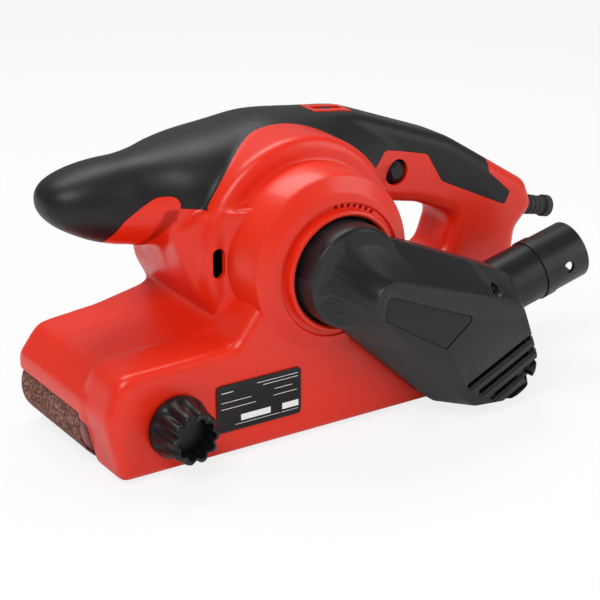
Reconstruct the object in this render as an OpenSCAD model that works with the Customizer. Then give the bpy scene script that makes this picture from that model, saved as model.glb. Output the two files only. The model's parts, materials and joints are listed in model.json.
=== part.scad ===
// Handheld belt sander with a cross-mounted motor, a toothed-belt drive on its left side,
// a D-handle, a front knob and a tracking adjustment for the front roller.
// Frame: +X to the rear, +Y to the operator's right, +Z up.
// Origin: centre of the sanding belt's flat working face.

/* [Sanding belt and rollers] */
// Width of the sanding belt
belt_w = 76; // [60:1:100]
// Length of the sanding belt, measured round its loop
belt_loop = 533; // [480:1:560]
// Thickness of the sanding belt
belt_t = 1; // [0.6:0.1:1.6]
// Radius of both rollers at mid-width
roller_r = 22.4; // [18:0.1:24]
// Gap between a roller and the belt round it
roller_gap = 0.1; // [0.05:0.05:0.2]
// Crown of the front roller: how much smaller its radius is at the ends
crown = 0.7; // [0.5:0.1:1]
// How far the platen stands below the rollers, so that the belt lies flat on it
platen_proud = 0.3; // [0.2:0.1:0.6]

/* [Motor] */
// Motor axis, behind the belt's centre
motor_x = 27; // [20:1:34]
// Motor axis above the working face
motor_z = 107; // [104:1:114]
// Outer radius of the stator
stator_r = 38; // [34:1:42]
// Length of the stator
stator_l = 42; // [34:1:46]
// Bore radius of the stator
stator_bore = 22.5; // [20:0.5:24]
// Air gap between stator and armature
air_gap = 0.6; // [0.4:0.1:1]
// Radius of the motor shaft
motor_shaft_r = 4; // [3.5:0.5:5]
// Radius of the fan
fan_r = 40; // [34:1:44]

/* [Toothed drive] */
// Pitch of the drive belt's teeth
tooth_pitch = 2.5; // [2:0.1:2.6]
// Teeth on the motor pulley
motor_teeth = 10; // [9:1:12]
// Teeth on the roller pulley
roller_teeth = 28; // [24:1:29]
// Width of the drive belt
drive_w = 7; // [5:1:8]
// Radius of the driven roller's shaft
drive_shaft_r = 5; // [4:0.5:6]

/* [Housing] */
// Plane where the two housing halves meet
split_y = 8; // [6:1:10]
// Wall of the moulded housing
wall = 2.5; // [2:0.1:3]
// Thickness of the soft grip over the housing
grip_t = 2; // [1.5:0.1:2.5]
// Radius of the motor drum
drum_r = 67; // [64:1:70]
// Radius of the stepped ring on the drum's left end
ring_r = 53; // [48:1:56]
// Half width of the handle
handle_half = 20; // [18:0.5:23]
// Height of the handle's highest point
handle_top = 176.5; // [174:0.5:182]
// Left face of the side panel
panel_y = -76; // [-80:1:-74]

/* [Belt cover] */
// Depth of the cover in front of the side panel
cover_d = 36; // [32:1:40]
// Width of the bevel round the cover's front face
cover_bevel = 6; // [4:0.5:8]
// Number of vent slots in the cover
vent_count = 4; // [3:1:4]
// Width of a vent slot
vent_w = 3; // [2:0.5:4]

/* [Dust outlet] */
// Outer radius of the dust tube
dust_r = 19; // [17:0.5:21]
// Inner radius of the dust tube
dust_bore = 16.5; // [14:0.5:16.5]
// Length of the dust tube
dust_l = 98; // [85:1:102]

/* [Controls] */
// Radius of the tracking knob at its base
knob_r = 19; // [16:0.5:20]
// Length of the tracking knob
knob_l = 23; // [18:1:26]
// Flutes round the tracking knob
knob_flutes = 8; // [6:1:9]
// Radius of the lock-on button
lock_r = 6.6; // [5:0.1:7]
// Radius of the speed wheel
wheel_r = 9; // [8:0.5:10]

/* [Cord sleeve] */
// Bore for the cord through the sleeve
cord_r = 3.7; // [3:0.1:4]
// Length of the sleeve outside the handle
sleeve_l = 33; // [26:1:40]

/* [Hidden] */
$fn = 48;
fit = 0.2;          // gap between parts that only lie near each other
run = 0.05;         // radial gap of a shaft in its bearing
lift = 0.3;         // gap between a part and the seat below it

// Belt path
belt_in = roller_r + roller_gap;
belt_out = belt_in + belt_t;
roller_z = belt_out + platen_proud;
roller_x = (belt_loop - 2 * PI * (belt_in + belt_t / 2)) / 4;
belt_half = belt_w / 2;
belt_top = roller_z + belt_out;
arch_r = belt_out + 3;              // housing clearance round the belt
roof_z = belt_top + 3;              // underside of the housing over the belt
side_y = belt_half + 2;             // inner face of the housing beside the belt
roller_half = belt_half - 2;
roller_bore = 11;
platen_half = 72;
platen_edge = 36;
pad_top = 4.4;

// Motor layout along Y
stator_y = -50;
fan_y = -71;
fan_l = 12;
end_wall_y = panel_y;               // inner face of the motor bearing's seat in the left housing
motor_bearing_r = 11;
motor_bearing_w = 7;
left_bearing_y = end_wall_y - motor_bearing_w;
core_y = stator_y + 2;
core_l = stator_l - 4;
commutator_y = 6;
commutator_l = 15;
commutator_r = 12;
frame_y = 24;                       // end frame behind the brushes
right_bearing_y = 28;
armature_r = stator_bore - air_gap;
ring_y = panel_y - 8;               // left face of the drum's ring
hole_r = 31;                        // opening in the ring that the cover's neck fills
hole_x = motor_x + 3;
hole_z = motor_z - 4;
drum_left = -46;
drum_right = 48;
drum_end = 58;

// Drive pulleys
motor_pulley_r = motor_teeth * tooth_pitch / (2 * PI);
roller_pulley_r = roller_teeth * tooth_pitch / (2 * PI);
drive_t = 0.8;
drive_gap = 0.25;
drive_y = left_bearing_y - 1.5 - drive_w;   // left face of the drive belt
roller_bearing_r = 13;
roller_bearing_w = 8;
boss_r = roller_bearing_r + 3.5;
boss_y0 = panel_y + wall + lift;
boss_y1 = -side_y - 3;
plate_y0 = -side_y - 6;             // chassis side plate
plate_y1 = -side_y - 2;

// Belt cover: circles that its outline wraps
cover_y = panel_y - cover_d;
pulley_room = roller_pulley_r + drive_t + drive_gap + 0.4 + wall;
cover_circles = [
    [hole_x, hole_z, hole_r - 4],
    [roller_x, roller_z, pulley_room],
    [roller_x + 37, 30, 27],
    [roller_x + 28, 58, 30]
];

// Front roller's carriage
slide_travel = 6;
pivot_x = -roller_x + 39;
stem_end = -20;
arm_y0 = belt_half + 0.8;
arm_t = 2.5;
lever_x = -32;
lever_y = 27;
cam_r0 = 5;
cam_z0 = 19;
cam_z1 = 28;
tail_x = lever_x + cam_r0 + 1.6;     // plate that the cam pulls back
web_x0 = stem_end + 24;             // chassis web behind the tension spring

// Handle and controls
lock_x = 118;
lock_z = 129;
trigger_x = 100;
trigger_z = 119;
cabin_half = handle_half - grip_t - wall;   // half width of the space inside the handle
switch_z = trigger_z + 5.5;
wheel_x = 78;
wheel_z = 163.2;
sleeve_x = 227;
sleeve_z = 83.5;
sleeve_tilt = 14;
clamp_x = 183;
clamp_z = sleeve_z + (sleeve_x - clamp_x) * tan(sleeve_tilt);
clamp_pitch = 9;
knob_x = -78;
knob_z = 30.5;
knob_y = panel_y - lift;

// Dust tube: start, turn and slope
dust_x = 129;
dust_y = panel_y + dust_r;
dust_z = 47;
dust_rise = 14;
port_depth = 40;                    // depth that a hose end slides in

// ---------- outlines in the XZ plane ----------

function unit(v) = v / norm(v);
function xz(p) = [p[0], p[1]];
function arc(c, r, a0, a1, n) = [for (i = [0:n])
    let (a = a0 + (a1 - a0) * i / n) c + r * [cos(a), sin(a)]];
function turn(a) = a > 180 ? a - 360 : a < -180 ? a + 360 : a;

// Points of a corner [x, z, r] rounded between its neighbours
function corner(prev, p, next) =
    let (u = unit(xz(prev) - xz(p)), v = unit(xz(next) - xz(p)),
         half = acos(max(-1, min(1, u * v))) / 2,
         reach = min(p[2] / tan(half), 0.48 * norm(xz(prev) - xz(p)), 0.48 * norm(xz(next) - xz(p))),
         r = reach * tan(half),
         c = xz(p) + unit(u + v) * r / sin(half),
         a0 = atan2((xz(p) + u * reach - c)[1], (xz(p) + u * reach - c)[0]),
         a1 = atan2((xz(p) + v * reach - c)[1], (xz(p) + v * reach - c)[0]),
         sweep = turn(a1 - a0))
    arc(c, r, a0, a0 + sweep, max(2, ceil(abs(sweep) / 12)));

function rounded(c) = let (n = len(c))
    [for (i = [0:n - 1]) each corner(c[(i + n - 1) % n], c[i], c[(i + 1) % n])];

// Corners of an anticlockwise outline moved outwards by g (inwards when g is negative)
function grow(c, g) = let (n = len(c)) [for (i = [0:n - 1])
    let (a = unit(xz(c[i]) - xz(c[(i + n - 1) % n])), b = unit(xz(c[(i + 1) % n]) - xz(c[i])),
         na = [a[1], -a[0]], nb = [b[1], -b[0]],
         p = xz(c[i]) + (na + nb) * g / (1 + na * nb),
         left = a[0] * b[1] - a[1] * b[0] > 0,
         r = max(0.5, c[i][2] + (left ? g : -g)))
    [p[0], p[1], r]];

// Outline of a band wrapped round circles [x, z, r] listed anticlockwise, moved outwards by g
function tangent_angle(p, q) = let (d = xz(q) - xz(p))
    atan2(d[1], d[0]) - acos((p[2] - q[2]) / norm(d));
function wrap(c, g = 0) = let (n = len(c)) [for (i = [0:n - 1])
    let (a0 = tangent_angle(c[(i + n - 1) % n], c[i]), a1 = tangent_angle(c[i], c[(i + 1) % n]),
         sweep = (a1 - a0 + 720) % 360)
    each arc(xz(c[i]), c[i][2] + g, a0, a0 + sweep, max(3, ceil(sweep / 10)))];

// An XZ outline as a solid from y0 to y1
module slab(points, y0, y1) {
    translate([0, y1, 0]) rotate([90, 0, 0]) linear_extrude(height = y1 - y0) polygon(points);
}

// A round bar along Y
module bar(x, z, r, y0, y1) {
    translate([x, y1, z]) rotate([90, 0, 0]) cylinder(r = r, h = y1 - y0);
}

module tube(x, z, r_out, r_in, y0, y1) {
    difference() {
        bar(x, z, r_out, y0, y1);
        bar(x, z, r_in, y0 - 1, y1 + 1);
    }
}

module block(x0, x1, y0, y1, z0, z1) {
    translate([x0, y0, z0]) cube([x1 - x0, y1 - y0, z1 - z0]);
}

// Coil spring along +X: a square wire swept round a helix
module coil(r, wire, length, turns) {
    steps = 12;
    count = steps * turns;
    sides = 4;
    points = [for (i = [0:count]) for (k = [0:sides - 1])
        let (a = 360 * i / steps, b = 90 * k + 45, q = r + wire / 2 * cos(b))
        [wire / 2 + (length - wire) * i / count + wire / 2 * sin(b), q * cos(a), q * sin(a)]];
    faces = concat(
        [[for (k = [0:sides - 1]) k]],
        [for (i = [0:count - 1]) for (k = [0:sides - 1])
            [i * sides + k, (i + 1) * sides + k,
             (i + 1) * sides + (k + 1) % sides, i * sides + (k + 1) % sides]],
        [[for (k = [0:sides - 1]) count * sides + sides - 1 - k]]);
    polyhedron(points, faces);
}

// ---------- housing shapes ----------

// Side view of knob, neck, handle and lower arm
spine_corners = [
    [-60, 112, 8], [-50, 86, 18], [-30, 62, 10], [112, 60, 6], [122, 44, 6], [216, 44, 10],
    [219, 72, 8], [233, 86, 8], [226, 104, 10], [162, 144, 50], [92, 170, 60],
    [motor_x, handle_top + 1.5, 90], [-55, 168, 60], [-108, 167, 16], [-122, 152, 10],
    [-108, 131, 14], [-82, 115.5, 20]
];
// Finger opening of the D-handle; its front end lies inside the drum
opening_corners = [[70, 66, 2], [158, 66, 10], [167, 91, 8], [138, 104, 12], [70, 118, 2]];
// Housing over the belt
hood_corners = [
    [-121, 30, 1], [126, 30, 3], [126, 58, 8], [98, 64, 6], [70, 80, 10], [-22, 90, 10],
    [-34, 72, 14], [-68, 65, 30], [-108, 61, 14], [-122, 44, 8]
];
// Side panel over the drive side
panel_corners = [
    [-112, 2, 4], [126, 2, 8], [126, 66, 12], [92, 92, 10], [-20, 92, 10],
    [-38, 68, 10], [-112, 66, 12], [-122, 40, 14]
];
// Shoulder between the neck and the drum's ring
shoulder_corners = [[-34, 60, 4], [40, 60, 4], [40, 150, 4], [-12, 148, 16], [-36, 118, 18], [-40, 84, 14]];
// Plan view of the saddle that spreads from the handle over the drum
saddle_corners = [
    [-66, split_y - 10, 12], [-24, drum_left + 4, 20], [58, drum_left + 4, 20], [100, split_y - 10, 12],
    [100, split_y + 10, 12], [58, drum_right, 20], [-24, drum_right, 20], [-66, split_y + 10, 12]
];
// Part of the handle and drum that the soft grip covers
grip_corners = [
    [-140, 100, 1], [-80, 106, 1], [-62, 104, 4], [-52, 118, 4], [-50, 136, 8], [-30, 152, 10],
    [2, 168, 10], [motor_x + 18, 166, 10], [78, 143, 4], [96, 141, 4], [106, 148, 6],
    [140, 139, 8], [150, 121, 3],
    [204, 95, 2], [206, 106, 2], [188, 118, 2], [188, 150, 2], [110, 200, 2], [-140, 200, 2]
];

// Knob, neck, handle and arm, all faces set in by d
module spine(d) {
    difference() {
        union() {
            slab(rounded(grow(spine_corners, -d)),
                split_y - handle_half + 6 + d, split_y + handle_half - 6 - d);
            slab(rounded(grow(spine_corners, -d - 4)), split_y - handle_half + d, split_y + handle_half - d);
        }
        slab(rounded(grow(opening_corners, d)), -60, 60);
    }
}

// The grip's wide saddle over the drum, all faces set in by d
module saddle(d) {
    intersection() {
        slab(rounded(grow(spine_corners, -d - 1.5)), drum_left + 4 + d, drum_right - d);
        translate([0, 0, 112 + d]) linear_extrude(height = 100) polygon(rounded(grow(saddle_corners, -d)));
    }
}

module over_belt(r, half, z_top) {
    for (s = [-1, 1]) bar(s * roller_x, roller_z, r, -half, half);
    block(-roller_x, roller_x, -half, half, -1, z_top);
}

module drum(d) {
    intersection() {
        union() {
            bar(motor_x, motor_z, drum_r - d, drum_left + d, drum_right - d);
            bar(motor_x, motor_z, drum_r - 9 - d, drum_left + d, drum_end - d);
        }
        block(-100, 200, -100, 100, roof_z + d, 300);
    }
}

// Whole outside of the housing without the grip's layer
module housing_outside() {
    difference() {
        union() {
            spine(0);
            saddle(0);
        }
        difference() {
            slab(rounded(grip_corners), -60, 90);
            union() {
                spine(grip_t);
                saddle(grip_t);
            }
        }
    }
    drum(0);
    bar(motor_x, motor_z, ring_r, ring_y, drum_left + 1);
    slab(rounded(hood_corners), -side_y, side_y + wall);
    slab(rounded(panel_corners), panel_y, -side_y);
    slab(rounded(shoulder_corners), -66, drum_left + 2);
}

// Whole inside of the housing
module housing_inside() {
    d = grip_t + wall;
    spine(d);
    saddle(d);
    drum(wall);
    bar(motor_x, motor_z, ring_r - wall, ring_y + wall, end_wall_y);
    bar(motor_x, motor_z, ring_r - wall, end_wall_y + wall, drum_left + wall + 1);
    slab(rounded(grow(hood_corners, -wall)), -side_y - 1, side_y);
    slab(rounded(grow(panel_corners, -wall)), panel_y + wall, -side_y + 0.5);
    slab(rounded(grow(shoulder_corners, -wall)), -66 + wall, drum_left + wall + 2);
}

// Floor over the belt, which stays solid inside the hollow hood
module belt_roof() {
    intersection() {
        difference() {
            over_belt(arch_r + wall, side_y + wall, roof_z + wall);
            over_belt(arch_r, 60, roof_z);
            block(-90, 90, -100, 100, -2, roof_z);
        }
        slab(rounded(hood_corners), -side_y, side_y + wall);
    }
}

// Screws that join the halves: x, z and the y of the head's seat
screw_places = [[-88, 141, -2], [-34, 92, -2], [198, 106, -2], [194, 53.4, -2], [112, 53, -2], [96, 152, -2]];
screw_r = 2;
screw_head_r = 3.6;
screw_reach = 17;

// Screws that hold the chassis's side plate to bosses of the side panel: x, z
chassis_screw_places = [[-52, 54], [10, 54], [66, 54]];
chassis_screw_r = 2;
chassis_screw_l = 8;

module housing_whole() {
    difference() {
        union() {
            difference() {
                housing_outside();
                housing_inside();
            }
            belt_roof();
            for (p = screw_places) bar(p[0], p[1], 5.5, split_y - handle_half + 2, split_y + handle_half - 2);
            motor_seats();
            for (p = chassis_screw_places) bar(p[0], p[1], 5, panel_y + 1, plate_y0);
            for (s = [-1, 1]) bar(clamp_x, clamp_z + s * clamp_pitch, 4, split_y, split_y + handle_half - 2);
        }
        over_belt(arch_r, 60, roof_z);
        block(-90, 90, -side_y, 60, -2, roof_z);
        // screw holes
        for (p = screw_places) {
            bar(p[0], p[1], screw_head_r + 0.4, -80, p[2]);
            bar(p[0], p[1], screw_r + 0.1, p[2] - 1, split_y + screw_reach);
        }
        for (s = [-1, 1]) bar(clamp_x, clamp_z + s * clamp_pitch, 1.6, split_y - 1, split_y + 10);
        for (p = chassis_screw_places)
            bar(p[0], p[1], chassis_screw_r + 0.1, plate_y0 - chassis_screw_l - 1, plate_y0 + 1);
        // motor shaft, drive shaft, tracking screw and cover opening
        bar(motor_x, motor_z, motor_shaft_r + 1.5, -100, -40);
        bar(motor_x, motor_z, motor_bearing_r + run, left_bearing_y - 1, end_wall_y);
        bar(hole_x, hole_z, hole_r, ring_y - 1, ring_y + wall);
        bar(roller_x, roller_z, drive_shaft_r + 3, panel_y - 1, panel_y + wall + 1);
        bar(knob_x, knob_z, 3.4, panel_y - 1, panel_y + wall + 1);
        // controls and cord
        bar(lock_x, lock_z, lock_r + 0.3, -60, split_y);
        block(trigger_x - 6, trigger_x + 32, split_y - 6.5, split_y + 6.5, 88, trigger_z + 4);
        block(wheel_x - 10.5, wheel_x + 10.5, split_y - 3.4, split_y + 3.4, 155, 190);
        sleeve_axis() cylinder(r = 8.2, h = 30, center = true);
        // dust port in the panel's rear wall
        dust_axis() cylinder(r = dust_bore - 0.5, h = 30, center = true);
        // cooling slots in both ends of the drum
        for (a = [0:30:150]) translate([motor_x, drum_end - 4, motor_z]) rotate([0, a, 0])
            translate([0, 0, 34]) cube([4, 12, 18], center = true);
    }
}

// Motor carriers: sleeve and ribs, left bearing boss, right sleeve
module motor_seats() {
    tube(motor_x, motor_z, stator_r + 3.2, stator_r + fit, stator_y, -3);
    tube(motor_x, motor_z, motor_bearing_r + 3, motor_bearing_r - 1, left_bearing_y, end_wall_y + 1);
    tube(motor_x, motor_z, stator_r + 5, stator_r + 2 + fit, split_y, frame_y + 3);
    for (a = [20, 90, 160, 270]) translate([motor_x, 0, motor_z]) rotate([0, -a, 0]) {
        block(stator_r + 2, drum_r - wall + 0.5 - (a == 270 ? 14 : 0), drum_left + wall + 4, -3, -1.5, 1.5);
        block(stator_r + 4, drum_r - wall + 0.5 - (a == 270 ? 14 : 0), split_y, frame_y + 3, -1.5, 1.5);
    }
}

module left_housing() {
    color([0.9, 0.17, 0.06]) intersection() {
        housing_whole();
        block(-300, 400, -200, split_y, -10, 300);
    }
}

module right_housing() {
    color([0.9, 0.17, 0.06]) intersection() {
        housing_whole();
        block(-300, 400, split_y, 200, -10, 300);
    }
}

module grip_whole() {
    difference() {
        intersection() {
            union() {
                spine(0);
                saddle(0);
            }
            slab(rounded(grip_corners), -60, 90);
        }
        spine(grip_t);
        saddle(grip_t);
        bar(motor_x, motor_z, drum_r + fit / 2, -90, 90);
        for (p = screw_places) bar(p[0], p[1], screw_head_r + 0.4, -80, p[2]);
        block(wheel_x - 14 - fit, wheel_x + 14 + fit, split_y - 8 - fit, split_y + 8 + fit, 155, 190);
        bar(lock_x, lock_z, lock_r + 0.3, -60, split_y);
    }
}

module left_grip() {
    color([0.1, 0.1, 0.11]) intersection() {
        grip_whole();
        block(-300, 400, -200, split_y, 90, 300);
    }
}

module right_grip() {
    color([0.1, 0.1, 0.11]) intersection() {
        grip_whole();
        block(-300, 400, split_y, 200, 90, 300);
    }
}

module housing_screws() {
    color("silver") for (p = screw_places) {
        bar(p[0], p[1], screw_head_r, p[2] - 2.6, p[2]);
        bar(p[0], p[1], screw_r, p[2] - 0.1, split_y + screw_reach - 1);
    }
}

// ---------- belt cover, plates and dust tube ----------

cover_screw_places = [[roller_x + 26, 80], [roller_x + 51, 20]];
cover_boss_r = 5.2;

module belt_cover() {
    front = ring_y - lift;
    step = cover_y + 12;
    color([0.08, 0.08, 0.09]) difference() {
        union() {
            slab(wrap(cover_circles), step, front);
            hull() {
                slab(wrap(cover_circles, -0.3), step - 0.2, step);
                slab(wrap(cover_circles, -cover_bevel), cover_y, cover_y + 0.2);
            }
            difference() {
                slab(wrap(cover_circles), front - 0.1, panel_y - lift);
                tube(motor_x, motor_z, ring_r + 0.4, 0.01, ring_y - lift, panel_y);
            }
        }
        difference() {
            union() {
                slab(wrap(cover_circles, -cover_bevel - 1), cover_y + wall, step + 0.5);
                slab(wrap(cover_circles, -wall), step, panel_y);
            }
            for (p = cover_screw_places) bar(p[0], p[1], cover_boss_r, cover_y, panel_y);
        }
        for (p = cover_screw_places) {
            bar(p[0], p[1], 1.7, cover_y - 1, panel_y);
            bar(p[0], p[1], 3.4, cover_y - 1, step + 2);
        }
        for (i = [0:vent_count - 1]) translate([roller_x + 24 + i * 4.2, cover_y + 5, 17 + i * 9.2])
            rotate([0, -24, 0]) cube([34, 16, vent_w], center = true);
        slab(rounded(nameplate_corners(0.2)), cover_y - 1, cover_y + 0.8);
    }
}

function nameplate_corners(g) = grow([[40, 81, 3], [83, 53, 3], [104, 68, 3], [42, 95, 3]], g);

module cover_nameplate() {
    color([0.05, 0.05, 0.06]) slab(rounded(nameplate_corners(0)), cover_y + 0.2, cover_y + 0.8);
}

module cover_screws() {
    step = cover_y + 12;
    color("silver") for (p = cover_screw_places) {
        bar(p[0], p[1], 3.1, step - 0.4, step + 2);
        bar(p[0], p[1], 1.5, step + 1.9, panel_y - lift);
    }
}

module rating_plate() {
    color([0.06, 0.06, 0.07]) slab(
        rounded([[-52, 18, 3], [5, 18, 3], [5, 47.5, 3], [-52, 47.5, 3]]), panel_y - 0.6, panel_y);
}

// Frame of the dust tube: +Z along the tube, origin at its inner end
module dust_axis() {
    translate([dust_x, dust_y, dust_z]) rotate([0, 90 - dust_rise, 0]) children();
}

module dust_tube() {
    color([0.09, 0.09, 0.1]) difference() {
        union() {
            dust_axis() cylinder(r = dust_r, h = dust_l);
            dust_axis() translate([0, 0, dust_l - 34]) cylinder(r = dust_r + 0.8, h = 8);
            block(126 + lift, 150, panel_y + 1, -48, 22, 64);
        }
        dust_axis() translate([0, 0, -20]) cylinder(r = dust_bore - 0.5, h = dust_l + 40);
        dust_axis() translate([0, 0, dust_l - port_depth]) cylinder(r = dust_bore, h = port_depth + 1);
        dust_axis() translate([0, -dust_r, dust_l - 16]) rotate([90, 0, 0])
            cylinder(r = 4, h = 12, center = true);
        block(100, 126 + lift, -120, 0, 0, 100);
    }
}

// ---------- chassis, platen and sanding belt ----------

// The space within a belt path of radius r round the rollers. Under the platen it reaches down to low
module belt_path(r, low, half) {
    for (s = [-1, 1]) bar(s * roller_x, roller_z, r, -half, half);
    slab([
        [-roller_x, roller_z - r], [-platen_half, low], [platen_half, low],
        [roller_x, roller_z - r], [roller_x, roller_z + r], [-roller_x, roller_z + r]
    ], -half, half);
}

module sanding_belt() {
    color([0.33, 0.17, 0.13]) difference() {
        belt_path(belt_out, 0, belt_half);
        belt_path(belt_in, belt_t, belt_half + 1);
    }
}

module chassis() {
    tail_gap = tail_x + 3 + slide_travel + 1;
    color([0.72, 0.73, 0.75]) difference() {
        union() {
            block(-46, 68, plate_y1 - 0.1, 36, 6.5, 9.5);
            block(-60, 118, plate_y0, plate_y1, 9.5, 60);
            block(-46, 68, -belt_half + 4, -belt_half + 8, 9, belt_top - 4);
            block(-46, 68, plate_y1 - 1, -belt_half + 5, 9, 22);
            block(web_x0, 68, -belt_half + 7, 28, 9, 38);
            block(-46, web_x0 + 1, -13, -8.3, 9, 38);
            block(-46, tail_x - 1, 8.3, 13, 9, 38);
            block(tail_gap, web_x0 + 1, 8.3, 13, 9, 38);
            block(lever_x - 7, lever_x + 7, 13, lever_y + 7, 9, 14.5);
            block(lever_x - 7, lever_x + 7, 12, lever_y + 7, 33, 38);
            bar(roller_x, roller_z, boss_r, boss_y0, boss_y1);
        }
        bar(roller_x, roller_z, drive_shaft_r + 2, -90, -30);
        bar(roller_x, roller_z, roller_bearing_r + run, boss_y0 - 1, boss_y0 + roller_bearing_w);
        bar(roller_x, roller_z, roller_bearing_r + run, boss_y1 - roller_bearing_w, boss_y1 + 1);
        translate([lever_x, lever_y, 0]) cylinder(r = 2.6, h = 60);
        translate([web_x0 + 24, 0, 24]) cube([40, 48, 20], center = true);
        for (p = chassis_screw_places) bar(p[0], p[1], chassis_screw_r + 0.1, -60, -30);
    }
}

module chassis_screws() {
    color("silver") for (p = chassis_screw_places) {
        bar(p[0], p[1], chassis_screw_r, plate_y0 - chassis_screw_l, plate_y1 + 0.1);
        bar(p[0], p[1], 3.5, plate_y1, plate_y1 + 1.2);
    }
}

module platen_plate() {
    color([0.6, 0.62, 0.65]) union() {
        block(-platen_half, platen_half, -platen_edge, platen_edge, pad_top, pad_top + 1);
        block(-45, 67, -32, 32, pad_top + 0.9, pad_top + 2.1);
    }
}

module platen_pad() {
    color([0.35, 0.28, 0.22])
        block(-platen_half, platen_half, -platen_edge, platen_edge, belt_t + lift, pad_top);
}

// ---------- driven roller and toothed drive ----------

module drive_shaft() {
    color([0.75, 0.76, 0.78]) union() {
        bar(roller_x, roller_z, drive_shaft_r, drive_y - 2, roller_half);
        bar(roller_x, roller_z, drive_shaft_r + 1.4, boss_y1 + 0.3, -roller_half - 0.2);
    }
}

module drive_roller() {
    color([0.7, 0.7, 0.72]) tube(roller_x, roller_z, roller_r - 3, drive_shaft_r, -roller_half, roller_half);
}

module drive_roller_sleeve() {
    color([0.12, 0.12, 0.12]) tube(roller_x, roller_z, roller_r, roller_r - 3, -roller_half, roller_half);
}

// Toothed pulley: teeth are left between half-round grooves
module pulley(x, z, pitch_r, teeth, bore, hub_r, hub_y) {
    body_r = pitch_r - drive_gap;
    side = 0.2;
    flange = 1;
    difference() {
        translate([x, 0, z]) rotate([90, 0, 0]) rotate_extrude() polygon([
            [bore, -drive_y + side + flange], [bore, -hub_y], [hub_r, -hub_y], [hub_r, -drive_y - drive_w],
            [body_r, -drive_y - drive_w], [body_r, -drive_y + side], [pitch_r + drive_t, -drive_y + side],
            [pitch_r + drive_t, -drive_y + side + flange]
        ]);
        for (i = [0:teeth - 1]) translate([x, 0, z]) rotate([0, 360 * i / teeth, 0])
            bar(body_r, 0, tooth_pitch * 0.26, drive_y + side, drive_y + drive_w + 0.5);
    }
}

module roller_pulley() {
    color([0.85, 0.85, 0.8])
        pulley(roller_x, roller_z, roller_pulley_r, roller_teeth, drive_shaft_r, 8, panel_y - 1);
}

module motor_pulley() {
    color([0.75, 0.76, 0.78])
        pulley(motor_x, motor_z, motor_pulley_r, motor_teeth, 2, 2.9, left_bearing_y - 1);
}

drive_path = [[motor_x, motor_z, motor_pulley_r], [roller_x, roller_z, roller_pulley_r]];

module drive_belt() {
    d = xz(drive_path[1]) - xz(drive_path[0]);
    span = norm(d);
    lean = atan2(d[1], d[0]);
    half = acos((motor_pulley_r - roller_pulley_r) / span);
    free = span * sin(half);
    color([0.1, 0.1, 0.1]) union() {
        difference() {
            slab(wrap(drive_path, drive_t), drive_y, drive_y + drive_w);
            slab(wrap(drive_path), drive_y - 1, drive_y + drive_w + 1);
        }
        // teeth on the two free runs
        for (s = [-1, 1]) {
            n = [cos(lean + s * half), sin(lean + s * half)];
            t = unit(d + n * (roller_pulley_r - motor_pulley_r));
            start = xz(drive_path[0]) + n * motor_pulley_r;
            for (i = [3:floor(free / tooth_pitch) - 5]) {
                p = start + t * tooth_pitch * (i + 0.5);
                translate([p[0], drive_y, p[1]]) rotate([0, -atan2(t[1], t[0]), 0])
                    translate([-0.6, 0, s > 0 ? -0.7 : -0.1]) cube([1.2, drive_w, 0.8]);
            }
        }
    }
}

module roller_bearings() {
    color("silver") for (y = [boss_y0, boss_y1 - roller_bearing_w])
        tube(roller_x, roller_z, roller_bearing_r, drive_shaft_r + run, y, y + roller_bearing_w);
}

// ---------- motor ----------

module armature_shaft() {
    color([0.75, 0.76, 0.78]) union() {
        bar(motor_x, motor_z, motor_shaft_r, left_bearing_y - 0.5, right_bearing_y + motor_bearing_w + 2);
        bar(motor_x, motor_z, 2, drive_y - 2, left_bearing_y);
    }
}

module armature_core() {
    color([0.45, 0.45, 0.48]) difference() {
        bar(motor_x, motor_z, armature_r, core_y, core_y + core_l);
        bar(motor_x, motor_z, motor_shaft_r, core_y - 1, core_y + core_l + 1);
        for (a = [0:30:330]) translate([motor_x, 0, motor_z]) rotate([0, a, 0])
            block(armature_r - 8, armature_r + 1, core_y - 1, core_y + core_l + 1, -1.2, 1.2);
    }
}

module armature_windings() {
    color([0.72, 0.36, 0.16]) {
        tube(motor_x, motor_z, armature_r - 3, motor_shaft_r, core_y - 6, core_y);
        tube(motor_x, motor_z, armature_r - 3, motor_shaft_r, core_y + core_l, core_y + core_l + 6);
    }
}

module commutator() {
    color([0.78, 0.45, 0.2]) difference() {
        bar(motor_x, motor_z, commutator_r, commutator_y, commutator_y + commutator_l);
        bar(motor_x, motor_z, motor_shaft_r, commutator_y - 1, commutator_y + commutator_l + 1);
        for (a = [0:15:345]) translate([motor_x, 0, motor_z]) rotate([0, a, 0])
            block(commutator_r - 1, commutator_r + 1,
                commutator_y + 2, commutator_y + commutator_l + 1, -0.25, 0.25);
    }
}

module fan() {
    blades = 9;
    color([0.15, 0.15, 0.16]) difference() {
        union() {
            bar(motor_x, motor_z, fan_r, fan_y, fan_y + 2);
            bar(motor_x, motor_z, 9, fan_y, fan_y + fan_l);
            for (i = [0:blades - 1]) translate([motor_x, 0, motor_z]) rotate([0, 360 * i / blades, 0])
                block(14, fan_r - 1, fan_y + 1, fan_y + fan_l - 2, -0.9, 0.9);
        }
        bar(motor_x, motor_z, motor_shaft_r, fan_y - 1, fan_y + fan_l + 1);
    }
}

module motor_bearings() {
    color("silver") for (y = [left_bearing_y, right_bearing_y])
        tube(motor_x, motor_z, motor_bearing_r, motor_shaft_r + run, y, y + motor_bearing_w);
}

module stator() {
    color([0.5, 0.5, 0.53]) difference() {
        bar(motor_x, motor_z, stator_r, stator_y, stator_y + stator_l);
        bar(motor_x, motor_z, stator_bore, stator_y - 1, stator_y + stator_l + 1);
        for (s = [-1, 1]) translate([motor_x, 0, motor_z])
            block(s > 0 ? stator_bore - 2 : -stator_r + 6, s > 0 ? stator_r - 6 : -stator_bore + 2,
                stator_y - 1, stator_y + stator_l + 1, -13, 13);
    }
}

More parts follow.
